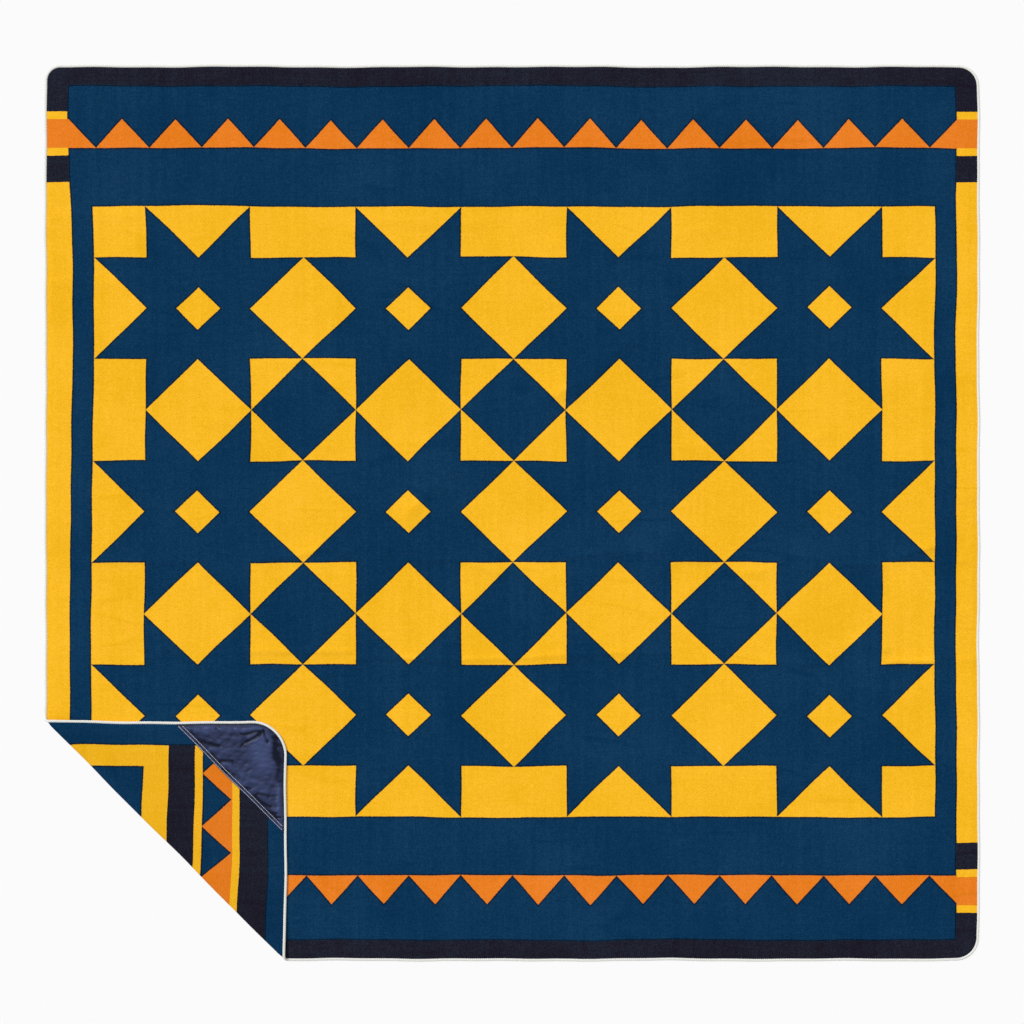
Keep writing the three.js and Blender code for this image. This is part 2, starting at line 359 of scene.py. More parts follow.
# %% [markdown]
# ## The outline
#
# A blanket's corners are rounded with a plate and shears, so no two have quite the same radius.
# A grid's square corner can be pushed onto an arc without any cutting: the grid's lines at one
# distance from the edge then become arcs at that distance, which is what a hem or an edge
# stitch needs.

# %% Rounding the corners, and measuring from the edge
def past_corner(points, side, end, radius):
    """How far each point lies past the centre of a corner's arc, both ways."""
    over_x = side * points[:, 0] - (WIDTH / 2 - radius)
    over_y = end * points[:, 1] - (LENGTH / 2 - radius)
    return over_x, over_y


def round_corners(points):
    rounded = points.copy()
    for (side, end), radius in CORNER_RADIUS.items():
        over_x, over_y = past_corner(points, side, end, radius)
        inside = (over_x > 0) & (over_y > 0)
        over_x, over_y = over_x[inside], over_y[inside]
        pull = 1 - np.maximum(over_x, over_y) / np.hypot(over_x, over_y)
        rounded[inside, 0] -= side * over_x * pull
        rounded[inside, 1] -= end * over_y * pull
    return rounded


def inset_of(points):
    """How far inside the outline each flat point lies."""
    inset = np.minimum(WIDTH / 2 - abs(points[:, 0]), LENGTH / 2 - abs(points[:, 1]))
    for (side, end), radius in CORNER_RADIUS.items():
        over_x, over_y = past_corner(points, side, end, radius)
        inside = (over_x > 0) & (over_y > 0)
        inset[inside] = radius - np.hypot(over_x[inside], over_y[inside])
    return inset


square_corner = np.array([[WIDTH / 2, LENGTH / 2, 0.0]])
print("a square corner is pulled in to", round_corners(square_corner).round(4))

# %% [markdown]
# ## Colours
#
# The yarns are a golden yellow, a deep blue, a near-black and an orange. Screen colours run to
# 255 and are bent for the eye, while Blender's shaders want light itself, so each is converted.

# %% The yarn colours
def light_of(red, green, blue):
    """A screen colour as the linear colour that Blender's shaders use."""
    shares = [value / 255 for value in (red, green, blue)]
    straight = [s / 12.92 if s <= 0.04045 else ((s + 0.055) / 1.055) ** 2.4 for s in shares]
    return (*straight, 1.0)


GOLD = light_of(247, 184, 22)
BLUE = light_of(1, 47, 81)
DARK = light_of(25, 21, 34)
ORANGE = light_of(232, 124, 20)
CREAM = light_of(243, 243, 237)
TOPSTITCH = light_of(206, 208, 222)
PAPER = light_of(251, 250, 251)
HAZE = (0.013, 0.031, 0.047, 1.0)  # what the nap's pale fibres add, in linear light

print("gold in linear light:", [round(value, 3) for value in GOLD])

# %% [markdown]
# ## Building node trees from code
#
# A node tree is a drawing of sums. These helpers add one node each and wire it: a value that is
# a socket is linked, and a plain number is typed into the socket. With them a pattern reads much
# like ordinary arithmetic.

# %% Node helpers
def wire(tree, socket, value):
    if isinstance(value, bpy.types.NodeSocket):
        tree.links.new(value, socket)
    else:
        socket.default_value = value


def calc(tree, operation, *values):
    """A Math node's result."""
    node = tree.nodes.new("ShaderNodeMath")
    node.operation = operation
    for socket, value in zip(node.inputs, values):
        wire(tree, socket, value)
    return node.outputs[0]


def least(tree, first, *others):
    for other in others:
        first = calc(tree, "MINIMUM", first, other)
    return first


def most(tree, first, *others):
    for other in others:
        first = calc(tree, "MAXIMUM", first, other)
    return first


def span(tree, value, low, high, to_low=0.0, to_high=1.0):
    """A smooth change from to_low to to_high while the value goes from low to high."""
    node = tree.nodes.new("ShaderNodeMapRange")
    node.interpolation_type = "SMOOTHSTEP"
    numbers = (value, low, high, to_low, to_high)
    for socket, number in zip(node.inputs, numbers):
        wire(tree, socket, number)
    return node.outputs[0]


def vector_calc(tree, operation, first, second):
    """A Vector Math node's result; SCALE takes a number as its second value."""
    node = tree.nodes.new("ShaderNodeVectorMath")
    node.operation = operation
    wire(tree, node.inputs[0], first)
    wire(tree, node.inputs["Scale" if operation == "SCALE" else 1], second)
    return node.outputs[0]


def split(tree, vector):
    """The three numbers of a vector."""
    node = tree.nodes.new("ShaderNodeSeparateXYZ")
    wire(tree, node.inputs[0], vector)
    return list(node.outputs)


def noise(tree, vector, scale, detail, output="Fac"):
    """A cloudy value round a half, or with the output Color three unlike ones."""
    node = tree.nodes.new("ShaderNodeTexNoise")
    for label, value in [("Vector", vector), ("Scale", scale), ("Detail", detail)]:
        wire(tree, node.inputs[label], value)
    return node.outputs[output]


def ridges(tree, vector, direction, scale):
    """Even ridges that follow one another along X or Y."""
    node = tree.nodes.new("ShaderNodeTexWave")
    node.bands_direction = direction
    wire(tree, node.inputs["Vector"], vector)
    node.inputs["Scale"].default_value = scale
    return node


def add_centred(tree, total, value, share):
    """Adds a share of a value that varies round a half."""
    return calc(tree, "MULTIPLY_ADD", calc(tree, "SUBTRACT", value, 0.5), share, total)


def zigzag(tree, value):
    """1 at each whole number, down to 0 halfway between two."""
    turn = calc(tree, "FRACT", value)
    return calc(tree, "ABSOLUTE", calc(tree, "MULTIPLY_ADD", turn, 2.0, -1.0))


def mixed(tree, kind, share, first, second):
    """Two colours mixed, or multiplied or added by a share."""
    node = tree.nodes.new("ShaderNodeMix")
    node.data_type = "RGBA"
    node.blend_type = kind
    wire(tree, node.inputs["Factor"], share)
    wire(tree, node.inputs[6], first)
    wire(tree, node.inputs[7], second)
    return node.outputs[2]


def times(tree, colour, brightness):
    """A colour multiplied by a brightness."""
    grey = tree.nodes.new("ShaderNodeCombineXYZ")
    for socket in grey.inputs:
        wire(tree, socket, brightness)
    return mixed(tree, "MULTIPLY", 1.0, colour, grey.outputs[0])


def new_group(name, inputs, outputs):
    """An empty node group with named sockets, and its ends inside."""
    group = bpy.data.node_groups.new(name, "ShaderNodeTree")
    for label, kind in inputs:
        group.interface.new_socket(name=label, in_out="INPUT", socket_type=kind)
    for label, kind in outputs:
        group.interface.new_socket(name=label, in_out="OUTPUT", socket_type=kind)
    start = group.nodes.new("NodeGroupInput")
    end = group.nodes.new("NodeGroupOutput")
    return group, start.outputs, end.inputs


def use_group(tree, group, **values):
    """One use of a group, with its inputs wired by name."""
    node = tree.nodes.new("ShaderNodeGroup")
    node.node_tree = group
    for label, value in values.items():
        wire(tree, node.inputs[label], value)
    return node.outputs


NUMBER, VECTOR, COLOUR = "NodeSocketFloat", "NodeSocketVector", "NodeSocketColor"
print("node helpers ready")

# %% [markdown]
# ## Where the two layers change places
#
# The figure of a double cloth is one question asked at each place: which layer is on top? The
# blue layer is plain. The other changes colour along the blanket's length: from each end it is
# dark, gold, orange, gold and dark, and then gold all through the middle. So the figure is a
# mask, and the stripes colour it. A colour ramp could hold the stripes, but it rounds their
# edges to a few millimetres, so each edge is a comparison of its own.
#
# The mask could be black or white, but a signed distance is more useful: above 0 inside the
# striped figure, below 0 outside it, and near 0 at its outline, in metres. Shapes are then joined
# with a maximum and cut with a minimum, and the outline can be softened or darkened by name.
#
# The borders are an end band, a row of sawtooth triangles and a column down each side. The middle
# holds sawtooth stars, an old and widely shared patchwork figure, four across and three down,
# with a square on its point where four stars meet.

# %% The figure's measures
FIGURE_SHIFT = (0.0034, 0.0029, 0.0)  # where the figure's middle lies
SIDE_COLUMN = 0.0547
END_BAND = 0.0448
SAW_BASE = {"face": 0.1836, "reverse": 0.1822}
SAW_HEIGHT = 0.0626
SAW_PITCH = 0.1123
SAW_TEETH = 17
SAW_SHIFT, SAW_LEAN = 0.0022, 0.0006  # sideways, and how much more for each metre up
SAW_DRAWN_FROM, SAW_DRAWN = 0.78, 0.05  # past here the last triangles on the right are drawn out
CELL = (0.1142, 0.1104)
CELLS = (8, 6)  # from the middle to the sides, and to the ends
STAR = 4  # cells from star to star
STAR_EYE = 0.42  # cells from a star's middle to the points of the square there
TOOTH_RIM = 0.0015  # the teeth's own colour runs this far past them, under the outline

STRIPES = [
    # colour, start on the face, start on the reverse, both from the blanket's end
    (GOLD, 0.1033, 0.1030),
    (ORANGE, 0.1196, 0.1186),
    (GOLD, 0.1812, 0.1836),
    (DARK, 0.1980, 0.2006),
    (GOLD, 0.2565, 0.2576),
]


def sawtooth(tree, x, y, from_end, base):
    """Distance inside the row of triangles; past the last one it runs on to the side column."""
    slope = 1 / math.hypot(1 / SAW_HEIGHT, 2 / SAW_PITCH)
    x = calc(tree, "ADD", x, calc(tree, "MULTIPLY_ADD", y, SAW_LEAN, SAW_SHIFT))
    drawn = most(tree, calc(tree, "SUBTRACT", x, SAW_DRAWN_FROM), 0.0)
    x = calc(tree, "MULTIPLY_ADD", drawn, -SAW_DRAWN, x)
    pitches = calc(tree, "DIVIDE", calc(tree, "ABSOLUTE", x), SAW_PITCH)
    side = least(tree, zigzag(tree, pitches), calc(tree, "MULTIPLY_ADD", pitches, -2.0, SAW_TEETH))
    above_tip = calc(tree, "SUBTRACT", from_end, base - SAW_HEIGHT)
    rise = calc(tree, "DIVIDE", above_tip, SAW_HEIGHT)
    flank = calc(tree, "MULTIPLY", calc(tree, "SUBTRACT", rise, side), slope)
    return least(tree, flank, above_tip, calc(tree, "SUBTRACT", base, from_end))


def star_field(tree, x, y):
    """Distance inside the gold ground of the stars."""
    across, along = calc(tree, "DIVIDE", x, CELL[0]), calc(tree, "DIVIDE", y, CELL[1])
    to_side = calc(tree, "SUBTRACT", CELLS[0], calc(tree, "ABSOLUTE", across))
    to_end = calc(tree, "SUBTRACT", CELLS[1], calc(tree, "ABSOLUTE", along))
    half = STAR / 2
    u_turn = calc(tree, "FRACT", calc(tree, "DIVIDE", across, STAR))
    v_turn = calc(tree, "FRACT", calc(tree, "MULTIPLY_ADD", along, 1 / STAR, 0.5))
    u = calc(tree, "ABSOLUTE", calc(tree, "MULTIPLY_ADD", u_turn, STAR, -half))
    v = calc(tree, "ABSOLUTE", calc(tree, "MULTIPLY_ADD", v_turn, STAR, -half))
    far, near, both = most(tree, u, v), least(tree, u, v), calc(tree, "ADD", u, v)
    heart = calc(tree, "SUBTRACT", 1.0, far)
    flank = calc(tree, "ADD", calc(tree, "SUBTRACT", near, far), 1.0)
    point = least(tree, calc(tree, "SUBTRACT", 1.0, near), calc(tree, "MULTIPLY", flank, DIAGONAL))
    eye = calc(tree, "MULTIPLY", calc(tree, "SUBTRACT", both, STAR_EYE), DIAGONAL)
    star = least(tree, most(tree, heart, point), eye)
    on_point = calc(tree, "MULTIPLY", calc(tree, "SUBTRACT", both, 3.0), DIAGONAL)
    inner_side = calc(tree, "SUBTRACT", to_side, half)
    inner_end = calc(tree, "SUBTRACT", to_end, half)
    star = most(tree, star, least(tree, on_point, inner_side, inner_end))
    ground = least(tree, to_side, to_end, calc(tree, "MULTIPLY", star, -1.0))
    return calc(tree, "MULTIPLY", ground, CELL[0])


print("one star is", round(STAR * CELL[0], 3), "by", round(STAR * CELL[1], 3), "m")

# %% The woven figure as a node group
def make_figure(side):
    group, start, end = new_group(
        f"Woven figure, {side}", [("Place", VECTOR)], [("Inside", NUMBER), ("Stripes", COLOUR)]
    )
    x, y, _ = split(group, vector_calc(group, "SUBTRACT", start["Place"], FIGURE_SHIFT))
    from_side = calc(group, "SUBTRACT", WIDTH / 2, calc(group, "ABSOLUTE", x))
    from_end = calc(group, "SUBTRACT", LENGTH / 2, calc(group, "ABSOLUTE", y))
    column = calc(group, "SUBTRACT", SIDE_COLUMN, from_side)
    true_y = calc(group, "ABSOLUTE", calc(group, "ADD", y, FIGURE_SHIFT[1]))
    band = calc(group, "SUBTRACT", true_y, LENGTH / 2 - END_BAND)
    saw = sawtooth(group, x, y, from_end, SAW_BASE[side])
    wire(group, end["Inside"], most(group, column, band, saw, star_field(group, x, y)))

    half_way = calc(group, "ABSOLUTE", calc(group, "ADD", y, FIGURE_SHIFT[1] / 2))
    from_stripe = calc(group, "SUBTRACT", LENGTH / 2, half_way)
    colour = DARK
    for next_colour, on_face, on_reverse in STRIPES:
        start_of = on_face if side == "face" else on_reverse
        past = calc(group, "GREATER_THAN", from_stripe, start_of)
        colour = mixed(group, "MIX", past, colour, next_colour)
    if side == "face":
        teeth = least(group, saw, calc(group, "MULTIPLY", column, -1.0))
        on_teeth = calc(group, "GREATER_THAN", teeth, -TOOTH_RIM)
        colour = mixed(group, "MIX", on_teeth, colour, ORANGE)
    wire(group, end["Stripes"], colour)
    return group


figures = {side: make_figure(side) for side in SAW_BASE}
print("each figure has", len(figures["face"].nodes), "nodes")

# %% [markdown]
# ## Brushed wool
#
# After weaving, the cloth is brushed, which raises a nap of short fibres. From above it shows as
# a fine, felted grain with a mottled tone and a few paler lint fibres. Under it the weft and the
# warp show only as faint streaks, and here and there a soft wrinkle runs across, as a bump with
# painted shade along its line. Each of these is a noise or a wave, drawn narrow one way and long
# the other, and a table gives each its share.
#
# A second, small group moves the place that the figure is drawn at by a few millimetres, since no
# hand-finished cloth is woven or laid quite straight.

# %% The nap and the wandering figure as node groups
GRAINS = {
    # how narrow in x, y and z; detail; share of the tone
    "fibres": ((430, 330, 300), 3, 1.45),
    "weft": ((26, 330, 100), 2, 0.28),
    "warp": ((330, 22, 100), 2, 0.2),
    "clumps": ((120, 95, 100), 3, 0.3),
    "patches": ((5, 5, 5), 2, 0.6),
    "streaks": ((70, 1.6, 1), 2, 0.3),
    "wrinkles": ((1.7, 9, 1), 1, 0.0),
    "lint": ((330, 95, 200), 2, 0.0),
}
# painted shade along the soft wrinkle lines, which darkens the tone there
WRINKLE_SHADE = -0.12


def make_nap():
    group, start, end = new_group(
        "Brushed nap",
        [("Place", VECTOR)],
        [("Tone", NUMBER), ("Lint", NUMBER), ("Height", NUMBER)],
    )
    place = start["Place"]
    tone, grains = 0.0, {}
    for name, (narrow, detail, share) in GRAINS.items():
        grains[name] = noise(group, vector_calc(group, "MULTIPLY", place, narrow), 1.0, detail)
        if share:
            tone = add_centred(group, tone, grains[name], share)
    from_line = calc(group, "ABSOLUTE", calc(group, "SUBTRACT", grains["wrinkles"], 0.5))
    here = span(group, noise(group, place, 5.5, 1.0), 0.53, 0.63)
    wrinkle = calc(group, "MULTIPLY", span(group, from_line, 0.0, 0.035, 1.0, 0.0), here)
    # the tone, with painted shade where a wrinkle runs
    wire(group, end["Tone"], calc(group, "MULTIPLY_ADD", wrinkle, WRINKLE_SHADE, tone))
    wire(group, end["Lint"], span(group, grains["lint"], 0.54, 0.72))

    ribs = ridges(group, place, "Y", 115.0)
    ribs.inputs["Distortion"].default_value = 1.5
    ribs.inputs["Detail Scale"].default_value = 3.0
    height = 0.0
    for part, share in [
        (ribs.outputs["Fac"], 0.18),
        (grains["fibres"], 0.9),
        (grains["clumps"], 1.1),
        (wrinkle, 1.6),
    ]:
        height = calc(group, "MULTIPLY_ADD", part, share, height)
    wire(group, end["Height"], height)
    return group


def make_drift():
    group, start, end = new_group(
        "Drift", [("Place", VECTOR), ("Size", NUMBER), ("Reach", NUMBER)], [("Place", VECTOR)]
    )
    cloud = noise(group, start["Place"], start["Size"], 1.0, output="Color")
    push = vector_calc(group, "SUBTRACT", cloud, (0.5, 0.5, 0.5))
    push = vector_calc(group, "SCALE", push, start["Reach"])
    wire(group, end["Place"], vector_calc(group, "ADD", start["Place"], push))
    return group


nap = make_nap()
drift = make_drift()
print(nap.name, "and", drift.name, "ready")

# %% [markdown]
# ## The wool's two sides
#
# Both sides are one material with one switch turned round: where the face shows the striped
# layer, the reverse shows the blue one. Where two colours meet, the threads of one layer dive
# under the other and leave a narrow shaded line on the darker side. Wool hardly shines, so the
# specular level is low, and a little sheen stands for the nap's soft rim of light.

# %% The wool materials
SLOW_DRIFT = {"Size": 4.5, "Reach": 0.0075}
RAGGED_DRIFT = {"Size": 260.0, "Reach": 0.0017}
SOFT_EDGE = 0.0009
OUTLINE_AT, OUTLINE_HALF, OUTLINE_SHADE = 0.0016, 0.0024, 0.9
OUTLINE_TINT = light_of(60, 62, 70)
LINT = light_of(190, 200, 215)
NAP_TONE, REVERSE_BRIGHT = 0.30, 0.93
HAZE_FROM, LINT_SHARE = -0.16, 0.006


def new_material(name, roughness, shine):
    material = bpy.data.materials.new(name)
    material.use_nodes = True
    shader = material.node_tree.nodes["Principled BSDF"]
    shader.inputs["Roughness"].default_value = roughness
    shader.inputs["Specular IOR Level"].default_value = shine
    return material, material.node_tree, shader.inputs


def read_attribute(tree, name):
    node = tree.nodes.new("ShaderNodeAttribute")
    node.attribute_name = name
    return node.outputs["Vector"]


def add_bump(tree, sockets, height, distance, strength):
    bump = tree.nodes.new("ShaderNodeBump")
    bump.inputs["Distance"].default_value = distance
    bump.inputs["Strength"].default_value = strength
    wire(tree, bump.inputs["Height"], height)
    wire(tree, sockets["Normal"], bump.outputs["Normal"])


def wool_material(name, face):
    material, tree, sockets = new_material(name, roughness=0.95, shine=0.04)
    place = read_attribute(tree, "flat")
    slow = use_group(tree, drift, Place=place, **SLOW_DRIFT)["Place"]
    ragged = use_group(tree, drift, Place=slow, **RAGGED_DRIFT)["Place"]
    woven = use_group(tree, figures["face" if face else "reverse"], Place=ragged)
    inside = woven["Inside"]
    striped = span(tree, inside, -SOFT_EDGE, SOFT_EDGE)
    first, second = (BLUE, woven["Stripes"]) if face else (woven["Stripes"], BLUE)
    yarn = mixed(tree, "MIX", striped, first, second)

    blue_side = -OUTLINE_AT if face else OUTLINE_AT
    from_line = calc(tree, "ABSOLUTE", calc(tree, "SUBTRACT", inside, blue_side))
    shaded = span(tree, from_line, 0.0002, OUTLINE_HALF, OUTLINE_SHADE, 0.0)
    yarn = mixed(tree, "MULTIPLY", shaded, yarn, OUTLINE_TINT)

    worn = use_group(tree, nap, Place=place)
    bright = calc(tree, "MULTIPLY_ADD", worn["Tone"], NAP_TONE, 1.0 if face else REVERSE_BRIGHT)
    yarn = times(tree, yarn, bright)
    haze = most(tree, calc(tree, "SUBTRACT", worn["Tone"], HAZE_FROM), 0.0)
    yarn = mixed(tree, "ADD", haze, yarn, HAZE)
    lint = calc(tree, "MULTIPLY", worn["Lint"], LINT_SHARE)
    yarn = mixed(tree, "MIX", lint, yarn, LINT)
    wire(tree, sockets["Base Color"], yarn)
    sockets["Sheen Weight"].default_value = 0.02
    sockets["Sheen Roughness"].default_value = 0.6
    add_bump(tree, sockets, worn["Height"], distance=0.0007, strength=0.35)
    return material


wool_face = wool_material("wool face", face=True)
wool_reverse = wool_material("wool reverse", face=False)
print("wool:", len(wool_face.node_tree.nodes), "nodes on each side")

# %% [markdown]
# ## The cloth
#
# The blanket is one sheet. It starts as a grid whose lines stand a centimetre apart, closer where
# the long creases run and close along the edge, where the overlocking pinches the cloth thin. The
# corners are rounded, and a few more lines are cut where the fold will roll, because a tight
# bend needs them. Solidify gives the sheet its 4 millimetres and a second material underneath.
#
# Before it is bent, each point's flat place is kept as an attribute. The figure is drawn on that,
# so it runs over the fold exactly as woven. A few rows of CREEP shift the kept place where the
# weave itself has been pulled aside.

# %% The grid of the flat sheet
CUT_EDGE = 0.0026  # the cloth's edge lies this far inside the overlocking's outer edge
EDGE_LINES = [0.0070, 0.0095, 0.0120, 0.0160]
GRID_PITCH, CREASE_PITCH = 0.0104, 0.0040
COLUMN_SPANS = [(WIDTH / 2 - EDGE_LINES[-1], GRID_PITCH)]
ROW_SPANS = [
    # up to, pitch
    (-0.332, GRID_PITCH),
    (-0.276, CREASE_PITCH),
    (-0.134, GRID_PITCH),
    (-0.072, CREASE_PITCH),
    (LENGTH / 2 - EDGE_LINES[-1], GRID_PITCH),
]


def extend_to(lines, end, pitch):
    """Adds lines up to an end, no further apart than the pitch."""
    count = math.ceil((end - lines[-1]) / pitch)
    lines.extend(np.linspace(lines[-1], end, count + 1)[1:])


def ruled(half, spans):
    """The places of the grid's lines from one edge to the other."""
    lines = [inset - half for inset in [CUT_EDGE, *EDGE_LINES]]
    for end, pitch in spans:
        extend_to(lines, end, pitch)
    lines.extend(half - inset for inset in reversed([CUT_EDGE, *EDGE_LINES[:-1]]))
    return np.array(lines)


def add_ruled_grid(name, columns, rows):
    """A flat grid whose lines stand where the two lists say."""
    bpy.ops.object.select_all(action="DESELECT")
    counts = np.array([len(columns) - 1, len(rows) - 1])
    bpy.ops.mesh.primitive_grid_add(x_subdivisions=counts[0], y_subdivisions=counts[1], size=2)
    piece = newly_added(name)
    points = points_of(piece)
    numbers = np.rint((points[:, 0:2] + 1) / 2 * counts).astype(int)
    points[:, 0] = columns[numbers[:, 0]]
    points[:, 1] = rows[numbers[:, 1]]
    put_points(piece, points)
    return piece


cloth = add_ruled_grid(
    "blanket_cloth", ruled(WIDTH / 2, COLUMN_SPANS), ruled(LENGTH / 2, ROW_SPANS)
)
put_points(cloth, round_corners(points_of(cloth)) + np.array([0, 0, THICKNESS]))
print("flat sheet:", len(cloth.data.polygons), "faces")

# %% Lines for the roll, and the cloth's thickness
ROLL_CUTS = 12
PINCH_FROM, PINCH_TO = 0.0150, 0.0074  # in from the outer edge
PINCHED_BASE, PINCHED_SHARE = 0.0013, 0.5  # how high the pressed cloth starts, and what is left


def cut_across(piece, cuts, clear=False):
    """Cuts a flat sheet along lines at 45 degrees; each is a distance from the flat corner."""
    sheet = bmesh.new()
    sheet.from_mesh(piece.data)
    for distance in cuts:
        on_line = distance * DIAGONAL
        bmesh.ops.bisect_plane(
            sheet,
            geom=[*sheet.verts, *sheet.edges, *sheet.faces],
            dist=1e-6,
            plane_co=(on_line - WIDTH / 2, on_line - LENGTH / 2, 0),
            plane_no=(DIAGONAL, DIAGONAL, 0),
            clear_outer=clear,
        )
    sheet.to_mesh(piece.data)
    sheet.free()


def give_thickness(piece, thickness):
    solidify = piece.modifiers.new("thickness", "SOLIDIFY")
    solidify.thickness = thickness
    solidify.offset = -1
    solidify.material_offset = 1
    apply_modifier(piece, solidify)


def pinch(points):
    """Presses the cloth thin where the overlocking grips it."""
    pinched = 1 - smoothstep(inset_of(points), PINCH_TO, PINCH_FROM)
    thin = PINCHED_BASE + PINCHED_SHARE * points[:, 2]
    return points[:, 2] + pinched * (thin - points[:, 2])


cut_across(cloth, [ROLL_START - ROLL_LENGTH * i / ROLL_CUTS for i in range(ROLL_CUTS + 1)])
cloth.data.materials.append(wool_face)
cloth.data.materials.append(wool_reverse)
give_thickness(cloth, THICKNESS)
print("cloth with its thickness:", triangles_of(cloth), "triangles")

# %% The kept flat places, and the bend
CREEP = [
    # at x, at y, by x, by y, reach; millimetres on the flat blanket
    (-960, 900, -8.5, 2.0, 150),
    (-960, 560, 4.5, 0.0, 170),
    (-960, 240, 0.8, 0.0, 150),
    (-960, -300, -3.0, 0.0, 180),
    (-930, -680, -6.5, -6.0, 110),
    (-860, -860, -4.0, -2.0, 110),
    (-930, -745, 0.0, 2.8, 65),
]


def creep(points):
    """How far the weave has been pulled aside, mostly where the corner is turned back."""
    moved = np.zeros_like(points)
    for at_x, at_y, by_x, by_y, reach in np.array(CREEP) / 1000:
        distance = np.hypot(points[:, 0] - at_x, points[:, 1] - at_y)
        share = np.exp(-0.5 * (distance / reach) ** 2)
        moved[:, 0] += by_x * share
        moved[:, 1] += by_y * share
    return moved


flat_points = points_of(cloth)
write_attribute(cloth, "flat", flat_points - creep(flat_points))
flat_points[:, 2] = pinch(flat_points)
put_points(cloth, bend(flat_points))
shade_smooth(cloth)
print("the cloth spans", points_of(cloth).min(axis=0).round(4), points_of(cloth).max(axis=0).round(4))

# %% [markdown]
# ## The overlocked edge
#
# An overlocker wraps thread round the raw edge, stitch after stitch, so the edge is a thin rope of
# leaning loops. It could be a smooth tube with a bumpy material, but the loops show in the
# outline, so one stitch is modelled: a short ring that swells and narrows again. An Array
# modifier repeats it about 1,800 times, and each ring is then carried to its place round the
# outline by its distance along the edge.

# %% One stitch, and a row of them
STITCH = 0.0043
BEAD_SIDES = 10
BEAD_HALF_WIDTH = 0.0030
BEAD_HEIGHT = 0.0046
SWELL = [0.93, 1.01, 1.05, 1.00, 0.93]
LOOP_LEAN = 0.0011


def outline_track(inset):
    """The outline at an inset: distance along it, place, and the way out, anticlockwise."""
    places, outs = [], []
    corners = [(-1, -1, math.pi), (1, -1, 1.5 * math.pi), (1, 1, 0.0), (-1, 1, 0.5 * math.pi)]
    for side, end, start in corners:
        radius = CORNER_RADIUS[side, end]
        angles = start + np.linspace(0, math.pi / 2, 49)
        out = np.column_stack([np.cos(angles), np.sin(angles)])
        centre = np.array([side * (WIDTH / 2 - radius), end * (LENGTH / 2 - radius)])
        places.append(centre + (radius - inset) * out)
        outs.append(out)
    places = np.concatenate([*places, places[0][:1]])
    outs = np.concatenate([*outs, outs[0][:1]])
    along = np.concatenate([[0], np.cumsum(np.hypot(*np.diff(places, axis=0).T))])
    return along, places, outs


track_along, track_places, track_outs = outline_track(RIM)
stitch_count = round(track_along[-1] / STITCH)
stitch_pitch = track_along[-1] / stitch_count
ring_rise = stitch_pitch / (len(SWELL) - 1)
ring_steps = [(ring_rise, after / before) for before, after in zip(SWELL, SWELL[1:])]
edge = add_tube("overlocked_edge", BEAD_SIDES, SWELL[0], ring_steps)
repeat_upwards(edge, stitch_count, stitch_pitch, merge=0.0001)
print(stitch_count, "stitches,", round(stitch_pitch * 1000, 2), "mm each")

# %% Laying the stitches round the edge
BEAD_FULLNESS = 0.85  # below 1, the section is fuller than an ellipse
LEAN_FULL, LEAN_END = 0.020, 0.160  # from the roll, where the rope's width runs along the fold


def lay_round_edge(ring_points):
    """Points of the straight row, as x, y round the section and z along it, on the flat edge."""
    angle = np.arctan2(ring_points[:, 1], ring_points[:, 0])
    radius = np.hypot(ring_points[:, 0], ring_points[:, 1])
    cos, sin = np.cos(angle), np.sin(angle)
    outwards = radius * np.sign(cos) * abs(cos) ** BEAD_FULLNESS * BEAD_HALF_WIDTH
    height = radius * np.sign(sin) * abs(sin) ** BEAD_FULLNESS * BEAD_HEIGHT / 2
    along = (ring_points[:, 2] + LOOP_LEAN * cos) % track_along[-1]
    place = [np.interp(along, track_along, track_places[:, i]) for i in (0, 1)]
    out = [np.interp(along, track_along, track_outs[:, i]) for i in (0, 1)]
    foot = np.column_stack(place)
    from_roll = abs(past_roll(foot) - ROLL_LENGTH / 2)
    lean = 1 - smoothstep(from_roll, LEAN_FULL, LEAN_END)
    reach = RIM - BEAD_HALF_WIDTH + outwards
    x = foot[:, 0] + (out[0] + lean * abs(out[1])) * reach
    y = foot[:, 1] + (out[1] + lean * abs(out[0])) * reach
    z = np.maximum(BEAD_HEIGHT / 2 + height, 0)
    return np.column_stack([x, y, z])


straight_row = points_of(edge)
section = straight_row / np.hypot(straight_row[:, 0], straight_row[:, 1])[:, None]
thread_place = np.column_stack([straight_row[:, 2] / stitch_pitch, section[:, 0:2]])
write_attribute(edge, "thread", thread_place)
put_points(edge, bend(lay_round_edge(straight_row)))
close_up(edge)
shade_smooth(edge)
print("edge:", triangles_of(edge), "triangles")

# %% [markdown]
# ## Thread
#
# The overlocking is spun thread in cream. Each stitch shows two or three strands that lean across
# the edge, and painted shade darkens the gaps between stitches and, a little, the stitches' sides.
# The attribute written above tells the material how many stitches along it is and how far round,
# so the strands follow every corner.

# %% The thread material
GAP_SHADE = 0.28


def make_strands():
    group, start, end = new_group(
        "Strands",
        [("Along", NUMBER), ("Count", NUMBER), ("Place", VECTOR)],
        [("Height", NUMBER), ("Gap", NUMBER), ("Tone", NUMBER)],
    )
    from_strand = zigzag(group, calc(group, "MULTIPLY", start["Along"], start["Count"]))
    wire(group, end["Height"], span(group, from_strand, 1.0, 0.0))
    wire(group, end["Gap"], span(group, zigzag(group, start["Along"]), 0.62, 1.0))
    wire(group, end["Tone"], noise(group, start["Place"], 110.0, 3.0))
    return group


strands = make_strands()


